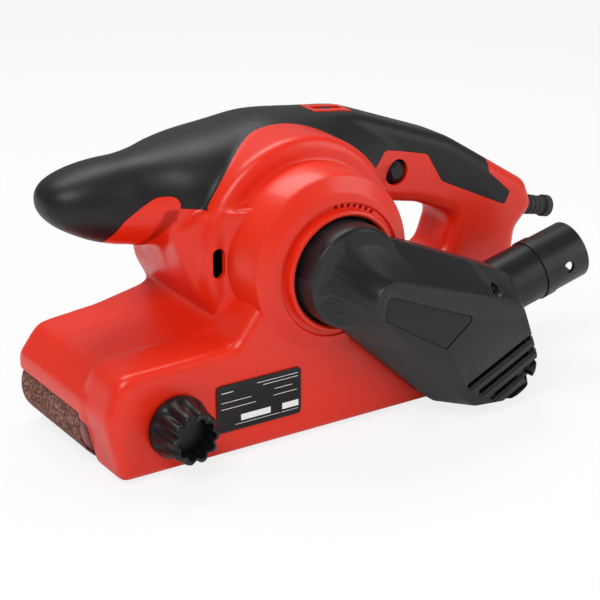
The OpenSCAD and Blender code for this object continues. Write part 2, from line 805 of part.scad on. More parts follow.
module field_coils() {
    color([0.7, 0.34, 0.15]) for (s = [-1, 1]) translate([motor_x, 0, motor_z])
        block(s > 0 ? stator_bore + 1.5 : -stator_r + 6 + fit, s > 0 ? stator_r - 6 - fit : -stator_bore - 1.5,
            stator_y - 5, stator_y + stator_l + 4, -13 + fit, 13 - fit);
}

module brush_frame() {
    color([0.2, 0.2, 0.22]) difference() {
        union() {
            bar(motor_x, motor_z, stator_r + 2, frame_y, frame_y + 3);
            bar(motor_x, motor_z, motor_bearing_r + 3, frame_y, right_bearing_y + motor_bearing_w + 1.5);
            for (s = [-1, 1]) block(motor_x + (s > 0 ? 14 : -34), motor_x + (s > 0 ? 34 : -14),
                18 + fit, frame_y + 1, motor_z - 6, motor_z + 6);
        }
        bar(motor_x, motor_z, motor_shaft_r + 3, frame_y - 1, right_bearing_y + 20);
        bar(motor_x, motor_z, motor_bearing_r + run, right_bearing_y, right_bearing_y + motor_bearing_w);
    }
}

module brush_holders() {
    color([0.8, 0.6, 0.25]) for (s = [-1, 1]) difference() {
        block(motor_x + (s > 0 ? 14 : -34), motor_x + (s > 0 ? 34 : -14), 8, 18, motor_z - 5.5, motor_z + 5.5);
        block(motor_x + (s > 0 ? 13 : -32), motor_x + (s > 0 ? 32 : -13), 10 - fit, 16 + fit,
            motor_z - 4 - fit, motor_z + 4 + fit);
    }
}

module carbon_brushes() {
    color([0.18, 0.18, 0.2]) for (s = [-1, 1]) difference() {
        block(motor_x + (s > 0 ? 11 : -28), motor_x + (s > 0 ? 28 : -11), 10, 16, motor_z - 4, motor_z + 4);
        bar(motor_x, motor_z, commutator_r + 0.15, 0, 30);
    }
}

// ---------- front roller, tension and tracking ----------

module idler_roller() {
    flat = 6;
    color([0.72, 0.73, 0.75]) translate([-roller_x, 0, roller_z]) rotate([90, 0, 0]) rotate_extrude()
        polygon([
            [roller_bore, -roller_half], [roller_r - crown, -roller_half], [roller_r, -flat],
            [roller_r, flat], [roller_r - crown, roller_half], [roller_bore, roller_half]
        ]);
}

module idler_bearings() {
    color("silver") for (s = [-1, 1]) tube(-roller_x, roller_z, roller_bore, 4 + run,
        s > 0 ? roller_half - 8 : -roller_half, s > 0 ? roller_half : -roller_half + 8);
}

module idler_axle() {
    color([0.6, 0.62, 0.65]) bar(-roller_x, roller_z, 4, -arm_y0 - arm_t, arm_y0 + arm_t);
}

module idler_yoke() {
    color([0.4, 0.41, 0.43]) difference() {
        union() {
            for (s = [-1, 1]) {
                slab(wrap([[-roller_x, roller_z, 9], [pivot_x - 4, roller_z, 9]]),
                    s > 0 ? arm_y0 : -arm_y0 - arm_t, s > 0 ? arm_y0 + arm_t : -arm_y0);
            }
            block(pivot_x - 7, pivot_x + 5, -arm_y0 - 0.5, arm_y0 + 0.5, 13, 34);
        }
        bar(-roller_x, roller_z, 4, -60, 60);
        translate([pivot_x, 0, 0]) cylinder(r = 3.05, h = 60);
        block(pivot_x - 6 - 2, pivot_x + 10, -9, 9, 17.5, 29.5);
    }
}

module yoke_pivot_pin() {
    color("silver") translate([pivot_x, 0, 12]) cylinder(r = 3, h = 23);
}

module tension_carriage() {
    color([0.5, 0.51, 0.53]) difference() {
        union() {
            block(pivot_x - 4, stem_end, -8, 8, 18, 29);
            block(tail_x, tail_x + 3, -8, lever_y + 5, cam_z0 + 0.5, cam_z1 - 0.5);
        }
        translate([pivot_x, 0, 0]) cylinder(r = 3, h = 60);
    }
}

module tension_spring() {
    color("silver") translate([stem_end + 0.3, 0, (cam_z0 + cam_z1) / 2])
        coil(5.5, 1.4, web_x0 - stem_end - 2 * lift, 6);
}

// Snail cam: its radius grows evenly with the lever's angle
module tension_lever() {
    color([0.1, 0.1, 0.11]) difference() {
        union() {
            translate([lever_x, lever_y, cam_z0]) linear_extrude(height = cam_z1 - cam_z0) polygon(concat(
                [for (i = [0:10]) (cam_r0 + fit + slide_travel * i / 10) * [cos(-10 * i), sin(-10 * i)]],
                [for (i = [1:12]) (cam_r0 - 1) * [cos(-100 - 20 * i), sin(-100 - 20 * i)]]));
            translate([lever_x, lever_y, 15]) cylinder(r = cam_r0, h = 17.6);
            block(lever_x + 4, lever_x + 70, lever_y + 5, lever_y + 10.5, 28.4, 32.4);
            block(lever_x - 3, lever_x + 6, lever_y - 3, lever_y + 10.5, 28.4, 32.4);
            block(lever_x + 58, lever_x + 70, lever_y + 5, lever_y + 10.5, 16, 32.4);
        }
        translate([lever_x, lever_y, 0]) cylinder(r = 2.55, h = 60);
    }
}

module lever_pin() {
    color("silver") translate([lever_x, lever_y, 9.6]) cylinder(r = 2.5, h = 28.3);
}

module tracking_knob() {
    color([0.07, 0.07, 0.08]) translate([knob_x, knob_y, knob_z]) rotate([90, 0, 0]) difference() {
        union() {
            cylinder(r = knob_r, h = 4);
            translate([0, 0, 3.9]) cylinder(r1 = knob_r - 1, r2 = knob_r - 4.5, h = knob_l - 3.9);
        }
        for (i = [0:knob_flutes - 1]) rotate([0, 0, 360 * (i + 0.5) / knob_flutes])
            translate([knob_r + 0.6, 0, 4.6]) cylinder(r = 5, h = knob_l);
        translate([0, 0, knob_l - 3]) cylinder(r = 7, h = 4);
        translate([0, 0, -1]) cylinder(r = 3, h = knob_l - 8);
    }
}

module tracking_screw() {
    color("silver") bar(knob_x, knob_z, 3, knob_y - 12, -arm_y0 - arm_t - 0.6);
}

// ---------- switch, controls and electrics ----------

module trigger() {
    color([0.07, 0.07, 0.08]) difference() {
        slab(rounded([
            [trigger_x - 1, 101, 4], [trigger_x + 24, 97.5, 6], [trigger_x + 28, 107, 4],
            [trigger_x + 22, trigger_z - 1, 3], [trigger_x, trigger_z + 4, 4], [trigger_x - 5, trigger_z - 1, 4]
        ]), split_y - 5.5, split_y + 5.5);
        bar(trigger_x, trigger_z, 1.55, -50, 50);
    }
}

module trigger_pin() {
    color("silver") bar(trigger_x, trigger_z, 1.5, split_y - cabin_half + fit, split_y + cabin_half - fit);
}

module trigger_spring() {
    color("silver") translate([trigger_x + 16, split_y, trigger_z + 0.9]) rotate([0, -90, 0])
        coil(2.6, 0.7, 4.4, 4);
}

module switch_body() {
    color([0.13, 0.13, 0.14]) difference() {
        union() {
            block(trigger_x - 2, trigger_x + 38, split_y - 8, split_y + 8, switch_z, switch_z + 17);
            block(trigger_x + 30, trigger_x + 36, split_y - cabin_half + fit, split_y + cabin_half - fit,
                switch_z + 4, switch_z + 12);
        }
        bar(lock_x, lock_z, 3.4, -20, split_y + 1);
    }
}

module lock_button() {
    face_y = split_y - handle_half - 1;
    color([0.07, 0.07, 0.08]) union() {
        bar(lock_x, lock_z, lock_r, face_y + 2, face_y + 9);
        translate([lock_x, face_y + 2, lock_z]) rotate([90, 0, 0])
            cylinder(r1 = lock_r, r2 = lock_r - 2.5, h = 2);
        bar(lock_x, lock_z, 3, face_y + 8, split_y - 5);
    }
}

module lock_spring() {
    y0 = split_y - handle_half + 8.2;
    color("silver") translate([lock_x, y0, lock_z]) rotate([0, 0, 90]) coil(4.6, 0.8, split_y - 8 - y0, 3);
}

module speed_wheel() {
    color([0.1, 0.1, 0.11]) difference() {
        bar(wheel_x, wheel_z, wheel_r, split_y - 2.6, split_y + 2.6);
        bar(wheel_x, wheel_z, 1.55, -50, 50);
        for (a = [0:15:345]) translate([wheel_x, 0, wheel_z]) rotate([0, a, 0])
            bar(wheel_r + 0.2, 0, 0.7, split_y - 3, split_y + 3);
    }
}

module wheel_axle() {
    color("silver") bar(wheel_x, wheel_z, 1.5, split_y - 14, split_y + 14);
}

module wheel_bezel() {
    color([0.9, 0.17, 0.06]) intersection() {
        difference() {
            block(wheel_x - 14, wheel_x + 14, split_y - 8, split_y + 8, 160, 190);
            block(wheel_x - 10.5, wheel_x + 10.5, split_y - 3.4, split_y + 3.4, 155, 195);
            slab(rounded(grow(spine_corners, -grip_t)), split_y - 20, split_y + 20);
        }
        slab(rounded(grow(spine_corners, 0.5)), split_y - 20, split_y + 20);
    }
}

module speed_module() {
    color([0.1, 0.25, 0.16]) block(trigger_x - 2, trigger_x + 30, split_y - 11, split_y + 11,
        switch_z + 17 + lift, switch_z + 20);
}

module capacitor() {
    color([0.75, 0.65, 0.2]) block(150, 172, split_y - 9, split_y + 9, 104.2, 114);
}

module sleeve_axis() {
    translate([sleeve_x, split_y, sleeve_z]) rotate([0, 90 + sleeve_tilt, 0]) children();
}

module cord_sleeve() {
    rib = sleeve_l / 8;
    color([0.1, 0.1, 0.11]) sleeve_axis() difference() {
        union() {
            translate([0, 0, -16]) cylinder(r = 8, h = 20);
            translate([0, 0, -18]) cylinder(r = 9.5, h = 3);
            cylinder(r1 = 7, r2 = 5.6, h = sleeve_l);
            for (i = [1:5]) translate([0, 0, rib * (i + 0.4)]) cylinder(r = 7.4 - i * 0.2, h = rib * 0.55);
            translate([0, 0, sleeve_l - 4.5]) cylinder(r = 7.4, h = 4.5);
        }
        translate([0, 0, -30]) cylinder(r = cord_r, h = 90);
    }
}

// Bridge over the cord inside the handle, screwed to the right half
module cord_clamp() {
    color([0.2, 0.2, 0.22]) difference() {
        block(clamp_x - 5, clamp_x + 5, split_y - 7, split_y - fit, clamp_z - 13, clamp_z + 13);
        translate([clamp_x, split_y, clamp_z]) rotate([0, 90 + sleeve_tilt, 0])
            cylinder(r = cord_r + 0.2, h = 30, center = true);
        for (s = [-1, 1]) bar(clamp_x, clamp_z + s * clamp_pitch, 1.7, -20, 20);
    }
}

module clamp_screws() {
    color("silver") for (s = [-1, 1]) {
        bar(clamp_x, clamp_z + s * clamp_pitch, 1.5, split_y - 7.1, split_y + 8);
        bar(clamp_x, clamp_z + s * clamp_pitch, 3, split_y - 8.6, split_y - 7);
    }
}

sanding_belt();
left_housing();
right_housing();
left_grip();
right_grip();
belt_cover();
cover_nameplate();
rating_plate();
cover_screws();
dust_tube();
chassis();
chassis_screws();
platen_plate();
platen_pad();
housing_screws();
drive_shaft();
drive_roller();
drive_roller_sleeve();
roller_pulley();
roller_bearings();
drive_belt();
motor_pulley();
armature_shaft();
armature_core();
armature_windings();
commutator();
fan();
motor_bearings();
stator();
field_coils();
brush_frame();
brush_holders();
carbon_brushes();
idler_roller();
idler_bearings();
idler_axle();
idler_yoke();
tension_carriage();
yoke_pivot_pin();
tension_spring();
tension_lever();
lever_pin();
tracking_knob();
tracking_screw();
trigger();
trigger_pin();
trigger_spring();
switch_body();
lock_button();
lock_spring();
speed_wheel();
wheel_axle();
wheel_bezel();
speed_module();
capacitor();
cord_sleeve();
cord_clamp();
clamp_screws();
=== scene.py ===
# %% [markdown]
# A handheld belt sander, built round its mechanical model.
# The mechanical parts arrive as a fixed frame in metres. Each visible piece below
# rides on one of that frame's bodies, so it moves when the machine's joints move.

# %% Load the frame
import bpy, bmesh, json, math
from mathutils import Matrix, Vector


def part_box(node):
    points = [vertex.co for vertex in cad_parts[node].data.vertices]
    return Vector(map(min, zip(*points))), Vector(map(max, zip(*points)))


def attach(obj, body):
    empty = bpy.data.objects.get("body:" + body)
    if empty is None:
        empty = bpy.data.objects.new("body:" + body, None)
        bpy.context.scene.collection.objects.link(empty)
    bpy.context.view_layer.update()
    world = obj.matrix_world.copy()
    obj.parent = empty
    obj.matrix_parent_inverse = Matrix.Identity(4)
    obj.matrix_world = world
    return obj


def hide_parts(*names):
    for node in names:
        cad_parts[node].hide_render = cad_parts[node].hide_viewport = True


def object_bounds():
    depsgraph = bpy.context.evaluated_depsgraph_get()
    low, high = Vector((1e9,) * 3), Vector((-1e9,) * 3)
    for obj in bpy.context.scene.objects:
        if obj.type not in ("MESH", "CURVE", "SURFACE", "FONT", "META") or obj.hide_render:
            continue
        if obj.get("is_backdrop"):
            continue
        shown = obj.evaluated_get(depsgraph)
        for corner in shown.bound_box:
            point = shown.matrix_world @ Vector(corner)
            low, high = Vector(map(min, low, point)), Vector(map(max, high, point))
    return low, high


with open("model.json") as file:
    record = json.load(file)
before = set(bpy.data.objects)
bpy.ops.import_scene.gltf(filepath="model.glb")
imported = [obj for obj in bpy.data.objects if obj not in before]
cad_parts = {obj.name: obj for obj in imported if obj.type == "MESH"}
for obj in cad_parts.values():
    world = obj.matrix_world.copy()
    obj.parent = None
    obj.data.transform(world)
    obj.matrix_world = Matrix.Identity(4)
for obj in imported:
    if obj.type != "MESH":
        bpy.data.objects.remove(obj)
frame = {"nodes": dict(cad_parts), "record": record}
cad_low, cad_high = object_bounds()
scene = bpy.context.scene
MM = 0.001
sides = [round((b - a) / MM, 1) for a, b in zip(cad_low, cad_high)]
print("frame:", len(frame["nodes"]), "parts,", sides, "mm")

# %% [markdown]
# The camera stands in front and to the left, a little above the machine. A long lens
# keeps the perspective flat, as in a studio picture of a product.

# %% Camera
CAMERA_AT = Vector((-0.5332, -0.9043, 0.4777))
LOOK_AT = Vector((0.0394, -0.0226, 0.0636))
camera = bpy.data.objects.new("camera", bpy.data.cameras.new("camera"))
camera.data.lens, camera.data.sensor_width = 111, 36
camera.data.clip_start, camera.data.clip_end = 0.01, 50
camera.location = CAMERA_AT
camera.rotation_mode = "QUATERNION"
camera.rotation_quaternion = (LOOK_AT - CAMERA_AT).to_track_quat("-Z", "Y")
scene.collection.objects.link(camera)
scene.camera = camera
scene.view_settings.view_transform = "Standard"
print("camera distance", round((LOOK_AT - CAMERA_AT).length, 3), "m")

# %% [markdown]
# The frame gives every place that matters: the motor's axis, the rollers and the plane
# where the housing's halves meet. Reading them here keeps the looks true to the mechanism.

# %% Places taken from the frame


def middle(node):
    low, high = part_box(node)
    return (low + high) / 2 / MM


MOTOR = middle("stator")
ROLLER = middle("drive_roller")
SPLIT = middle("trigger").y
FLOOR_Z = cad_low.z
TOP_Z = cad_high.z / MM
PANEL_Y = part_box("rating_plate")[1].y / MM
DRUM_R, RING_R = 67, 53
HALF = 20  # half the handle's width
SEAM = 0.25  # gap between two moulded pieces
COVER_WALL, COVER_FOOT, COVER_BEND, COVER_RIM, COVER_FACE = 2.4, -76.4, -93, -110.6, -112
print("motor axis", [round(v, 1) for v in MOTOR], "split", round(SPLIT, 1))

# %% [markdown]
# Side views are drawn as corners with a radius, the way a designer dimensions them.
# `rounded` turns each corner into an arc, and `grow` moves an outline in or out.

# %% Outlines with rounded corners


def rounded(corners, step=12):
    points = []
    for i, (x, z, r) in enumerate(corners):
        here = Vector((x, z))
        before = Vector(corners[i - 1][:2]) - here
        after = Vector(corners[(i + 1) % len(corners)][:2]) - here
        u, v = before.normalized(), after.normalized()
        half = math.acos(max(-1, min(1, u.dot(v)))) / 2
        if half > math.radians(88):
            points.append(here)
            continue
        reach = min(r / math.tan(half), 0.48 * before.length, 0.48 * after.length)
        radius = reach * math.tan(half)
        centre = here + (u + v).normalized() * radius / math.sin(half)
        start, end = here + u * reach - centre, here + v * reach - centre
        a = math.atan2(start.y, start.x)
        sweep = (math.atan2(end.y, end.x) - a + math.pi) % (2 * math.pi) - math.pi
        n = max(2, math.ceil(abs(math.degrees(sweep)) / step))
        turns = [a + sweep * k / n for k in range(n + 1)]
        points += [centre + Vector((math.cos(t), math.sin(t))) * radius for t in turns]
    return points


def grow(corners, g):
    out = []
    for i, (x, z, r) in enumerate(corners):
        here = Vector((x, z))
        a = (here - Vector(corners[i - 1][:2])).normalized()
        b = (Vector(corners[(i + 1) % len(corners)][:2]) - here).normalized()
        na, nb = Vector((a.y, -a.x)), Vector((b.y, -b.x))
        p = here + (na + nb) * g / (1 + na.dot(nb))
        left = a.x * b.y - a.y * b.x > 0
        out.append((p.x, p.y, max(0.5, r + (g if left else -g))))
    return out


def wrap(circles, g=0):
    """The outline of a belt run round circles (x, z, radius), all g larger."""
    points = []
    n = len(circles)

    def tangent(p, q):
        d = Vector((q[0] - p[0], q[1] - p[1]))
        return math.atan2(d.y, d.x) - math.acos((p[2] - q[2]) / d.length)

    for i, c in enumerate(circles):
        a0, a1 = tangent(circles[i - 1], c), tangent(c, circles[(i + 1) % n])
        sweep = (a1 - a0) % (2 * math.pi)
        k = max(3, math.ceil(math.degrees(sweep) / 8))
        turns = [a0 + sweep * j / k for j in range(k + 1)]
        points += [Vector((c[0], c[1])) + Vector((math.cos(t), math.sin(t))) * (c[2] + g) for t in turns]
    return points


SPINE = [
    (-48, 112, 8), (-40, 88, 18), (-22, 62, 10), (112, 60, 6), (122, 44, 6), (216, 44, 10),
    (219, 72, 8), (233, 86, 8), (226, 104, 10), (162, 144, 50), (92, 170, 60),
    (27, TOP_Z, 90), (-55, 162, 60), (-108, 158, 16), (-121, 152, 10), (-108, 131, 14), (-82, 115.5, 20)]
OPENING = [(70, 66, 2), (158, 66, 10), (167, 91, 8), (138, 104, 12), (70, 118, 2)]
HOOD = [
    (-121, 30, 1), (126, 30, 3), (126, 58, 8), (98, 64, 6), (70, 80, 10), (-22, 90, 10),
    (-34, 72, 14), (-68, 65, 30), (-108, 61, 14), (-121, 44, 8)]
PANEL = [
    (-112, 2, 4), (126, 2, 8), (126, 66, 12), (92, 92, 10), (-20, 92, 10),
    (-38, 68, 10), (-112, 66, 12), (-121, 40, 14)]
# Stations along the back, from the knob's tip to the handle: x, underside, top, half width
BACK = [
    (-117, 143, 149, 4), (-115.5, 138, 152.5, 10), (-110, 131.5, 157, 16.5), (-101, 125.5, 160.5, 21.5),
    (-89, 119.5, 163.3, 24.5), (-76, 115, 164.8, 25.5), (-64, 112.5, 165.2, 26), (-50, 110, 166.8, 31),
    (-36, 106, 169.4, 39), (-18, 102, 172.2, 44), (4, 98, 174.6, 45.5), (27, 96, TOP_Z, 45),
    (52, 98, 175.4, 42), (76, 104, 172, 35), (96, 112, 166.5, 27), (116, 118, 159, 21.5), (136, 114, 150, 19)]
NECK_SIDE = [
    (-49, 122, 8), (-41, 90, 20), (-22, 58, 10), (40, 58, 4), (40, 142, 4), (-12, 142, 16), (-38, 136, 12)]
NECK_PLAN = [
    (-53, SPLIT - 22, 16), (-40, -36, 20), (-10, -60, 18), (40, -66, 4),
    (40, 56, 4), (-14, 50, 16), (-38, 42, 18), (-53, SPLIT + 22, 16)]
GRIP = [
    (-140, 100, 1), (-84, 104, 1), (-71, 108, 4), (-60, 120, 4), (-52, 138, 6), (-44, 139, 5),
    (-27, 138, 9), (-12, 150, 12), (6, 168, 10), (48, 166, 10), (80, 139, 3), (98, 137, 3), (107, 146, 5),
    (142, 137, 6), (154, 117, 4), (206, 92, 2), (210, 100, 2), (192, 116, 3), (192, 150, 2),
    (110, 200, 2), (-140, 200, 2)]
INSERT = [
    (-86, 120, 9), (-76, 112, 8), (-60, 114, 9), (-46, 131, 8), (-43, 146, 6), (-56, 146, 12), (-76, 134, 14)]
# The cover's foot and face as circles (x, z, radius) with a belt run round them
COVER = [
    (MOTOR.x + 3, MOTOR.z - 4, 27), (ROLLER.x, ROLLER.z, 15),
    (ROLLER.x + 37, 30, 27), (ROLLER.x + 28, 58, 30)]
FACE = [
    (MOTOR.x + 18, MOTOR.z - 17, 13), (ROLLER.x + 14, 22, 13),
    (ROLLER.x + 36, 29, 22), (ROLLER.x + 27, 54, 22)]
print("outlines ready:", len(rounded(SPINE)), "points round the side view")

# %% [markdown]
# Moulded parts start as flat outlines with rounded rims. A 2-D curve does that in one
# step: it fills the outline, keeps holes open, gives it depth and rounds both rims.

# %% Plates with rounded rims, and turned parts


def add(name, mesh):
    piece = bpy.data.objects.new(name, mesh)
    scene.collection.objects.link(piece)
    return piece


def baked(piece):
    """Applies the modifiers of a mesh or curve and leaves a plain mesh at the origin."""
    deps = bpy.context.evaluated_depsgraph_get()
    mesh = bpy.data.meshes.new_from_object(piece.evaluated_get(deps))
    mesh.transform(piece.matrix_world)
    name = piece.name
    bpy.data.objects.remove(piece)
    done = add(name, mesh)
    done.name = name
    return done


def tidy(piece, merge=1e-5):
    bm = bmesh.new()
    bm.from_mesh(piece.data)
    bmesh.ops.remove_doubles(bm, verts=bm.verts, dist=merge)
    bmesh.ops.recalc_face_normals(bm, faces=bm.faces)
    bm.to_mesh(piece.data)
    bm.free()
    return piece


SIDE = Matrix(((1, 0, 0, 0), (0, 0, 1, 0), (0, 1, 0, 0), (0, 0, 0, 1)))
PLAN = Matrix.Identity(4)


def plate(name, outlines, low, high, rim, steps=4, lie=SIDE):
    """A solid from outlines in millimetres, from low to high across them, with rounded rims."""
    curve = bpy.data.curves.new(name, "CURVE")
    curve.dimensions, curve.fill_mode = "2D", "BOTH"
    curve.bevel_depth, curve.offset = rim * MM, -rim * MM
    curve.bevel_resolution = steps
    curve.extrude = ((high - low) / 2 - rim) * MM
    for points in outlines:
        spline = curve.splines.new("POLY")
        spline.points.add(len(points) - 1)
        for p, q in zip(spline.points, points):
            p.co = (q[0] * MM, q[1] * MM, 0, 1)
        spline.use_cyclic_u = True
    piece = add(name, curve)
    piece.matrix_world = lie @ Matrix.Translation((0, 0, (low + high) / 2 * MM))
    bpy.context.view_layer.update()
    return tidy(baked(piece), 2e-6)


def turned(name, profile, x=None, z=None, steps=96):
    """A solid of revolution round an axis along Y: profile is (radius, y), in millimetres."""
    x, z = MOTOR.x if x is None else x, MOTOR.z if z is None else z
    bm = bmesh.new()
    verts = [bm.verts.new((r * MM, y * MM, 0)) for r, y in profile]
    edges = [bm.edges.new(pair) for pair in zip(verts, verts[1:])]
    bmesh.ops.spin(
        bm, geom=verts + edges, cent=(0, 0, 0), axis=(0, 1, 0), angle=2 * math.pi, steps=steps, use_merge=True)
    bmesh.ops.remove_doubles(bm, verts=bm.verts, dist=1e-6)
    bmesh.ops.recalc_face_normals(bm, faces=bm.faces)
    bmesh.ops.translate(bm, verts=bm.verts, vec=(x * MM, 0, z * MM))
    mesh = bpy.data.meshes.new(name)
    bm.to_mesh(mesh)
    bm.free()
    return add(name, mesh)


def loft(name, rings):
    """A closed solid through rings of points in millimetres: neighbours bridged, both ends filled."""
    bm = bmesh.new()
    loops = []
    for ring in rings:
        verts = [bm.verts.new(Vector(p) * MM) for p in ring]
        loops.append([bm.edges.new((verts[i - 1], v)) for i, v in enumerate(verts)])
    for a, b in zip(loops, loops[1:]):
        bmesh.ops.bridge_loops(bm, edges=a + b)
    for end in (loops[0], loops[-1]):
        bmesh.ops.contextual_create(bm, geom=end)
    bmesh.ops.recalc_face_normals(bm, faces=bm.faces)
    mesh = bpy.data.meshes.new(name)
    bm.to_mesh(mesh)
    bm.free()
    return add(name, mesh)


def through(stations, between=4):
    """Eases a list of stations into a finer series that passes through each of them."""
    out = []
    for i in range(len(stations) - 1):
        a, b, c, d = (Vector(stations[max(0, min(len(stations) - 1, i + k))]) for k in (-1, 0, 1, 2))
        for j in range(between):
            t = j / between
            slope, bend, twist = c - a, 2 * a - 5 * b + 4 * c - d, 3 * b - a - 3 * c + d
            out.append(0.5 * (2 * b + slope * t + bend * t ** 2 + twist * t ** 3))
    return out + [Vector(stations[-1])]


def oval(x, low, high, half, fullness=2.35, around=56):
    """A full oval across the machine at x."""
    ring = []
    for k in range(around):
        c, z = math.cos(2 * math.pi * k / around), math.sin(2 * math.pi * k / around)
        c, z = (math.copysign(abs(v) ** (2 / fullness), v) for v in (c, z))
        ring.append((x, SPLIT + half * c, (low + high) / 2 + (high - low) / 2 * z))
    return ring


def level(outline, y, count=120):
    """An outline as a ring at depth y, with evenly spaced points."""
    closed = outline + outline[:1]
    lengths = [(b - a).length for a, b in zip(closed, closed[1:])]
    total, ring, i, run = sum(lengths), [], 0, 0
    for k in range(count):
        want = total * k / count
        while run + lengths[i] < want:
            run += lengths[i]
            i += 1
        p = closed[i].lerp(closed[i + 1], (want - run) / max(lengths[i], 1e-9))
        ring.append((p.x, y, p.y))
    return ring


def bar(name, x, z, r, low, high, steps=48):
    return turned(name, [(0, low), (r, low), (r, high), (0, high)], x, z, steps)


def block(name, x0, x1, y0, y1, z0, z1):
    bm = bmesh.new()
    bmesh.ops.create_cube(bm, size=1)
    bmesh.ops.scale(bm, verts=bm.verts, vec=((x1 - x0) * MM, (y1 - y0) * MM, (z1 - z0) * MM))
    bmesh.ops.translate(bm, verts=bm.verts, vec=((x0 + x1) / 2 * MM, (y0 + y1) / 2 * MM, (z0 + z1) / 2 * MM))
    mesh = bpy.data.meshes.new(name)
    bm.to_mesh(mesh)
    bm.free()
    return add(name, mesh)


def cut(piece, tools, how="DIFFERENCE", keep=False):
    """Applies booleans one after another. The tools are removed unless keep is set."""
    for tool in tools:
        m = piece.modifiers.new("cut", "BOOLEAN")
        m.object, m.operation, m.solver = tool, how, "MANIFOLD"
        piece = baked(piece)
        if not keep:
            bpy.data.objects.remove(tool)
    return piece


def copy_of(piece, name):
    return add(name, piece.data.copy())


def joined(name, pieces):
    bm = bmesh.new()
    for p in pieces:
        bm.from_mesh(p.data)
        bpy.data.objects.remove(p)
    mesh = bpy.data.meshes.new(name)
    bm.to_mesh(mesh)
    bm.free()
    return add(name, mesh)


def smooth_shade(piece, angle=35):
    piece.data.shade_smooth()
    piece.data.set_sharp_from_angle(angle=math.radians(angle))
    return piece


def finish_piece(piece, body, slot, finish, *nodes, angle=35):
    smooth_shade(piece, angle)
    piece.data.materials.clear()
    piece.data.materials.append(finish)
    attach(piece, body)
    if nodes:
        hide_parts(*nodes)
    print(piece.name, len(piece.data.vertices), "points")
    return piece


# %% [markdown]
# The housing flows from knob to neck to drum without an edge. Overlapping solids are
# fused by a voxel remesh, and smoothing then rounds every join as a mould would.

# %% The housing's outer skin and its hollow
VOXEL, INNER_VOXEL = 1.5, 2.2
HOUSING_WALL = 3.2


def housing_solids(d, tag):
    """The solids that make up the housing, all faces set in by d millimetres."""
    outlines = [rounded(grow(SPINE, -d)), rounded(grow(OPENING, d))]
    side = plate(tag + "_side", outlines, SPLIT - HALF + d, SPLIT + HALF - d, 8)
    side = cut(side, [block(tag + "_behind", -64, 300, -100, 100, 0, 300)], "INTERSECT")
    inner = BACK if d == 0 else BACK[2:]
    rings = [oval(x, low + d, high - d, half - d) for x, low, high, half in through(inner)]
    back = loft(tag + "_back", rings)
    neck = plate(tag + "_neck", [rounded(grow(NECK_SIDE, -d))], -66 + d, 56 - d, 8)
    plan = plate(tag + "_plan", [rounded(grow(NECK_PLAN, -d))], 50, 160, 1, lie=PLAN)
    neck = cut(neck, [plan], "INTERSECT")
    r = DRUM_R - d
    drum = turned(tag + "_drum", [
        (0, -46 + d), (r - 6, -46 + d), (r - 1.5, -44), (r, -40), (r, 20), (r - 4, 32),
        (r - 9, 44 - d), (r - 12, 48 - d), (r - 13, 55 - d), (r - 17, 58 - d), (0, 58 - d)])
    drum = cut(drum, [block(tag + "_keep", -100, 200, -100, 100, 53 + d, 300)], "INTERSECT")
    ring = turned(tag + "_ring", [(0, -70 + d), (RING_R - 1 - d, -70 + d), (RING_R - 1 - d, -40), (0, -40)])
    hood = plate(tag + "_hood", [rounded(grow(HOOD, -d))], -50, 42.5 - d, 6)
    panel = plate(tag + "_panel", [rounded(grow(PANEL, -d))], PANEL_Y + 0.3 + d, -38, 6)
    return [side, back, neck, drum, ring, hood, panel]


def fused(name, solids, voxel, passes):
    body = joined(name, solids)
    m = body.modifiers.new("fuse", "REMESH")
    m.mode, m.voxel_size, m.adaptivity = "VOXEL", voxel * MM, 0
    s = body.modifiers.new("soften", "SMOOTH")
    s.factor, s.iterations = 0.5, passes
    return baked(body)


skin = fused("skin", housing_solids(0, "outer"), VOXEL, 12)
hollow = fused("hollow", housing_solids(HOUSING_WALL, "inner"), INNER_VOXEL, 4)
print("skin", len(skin.data.polygons), "faces; hollow", len(hollow.data.polygons))
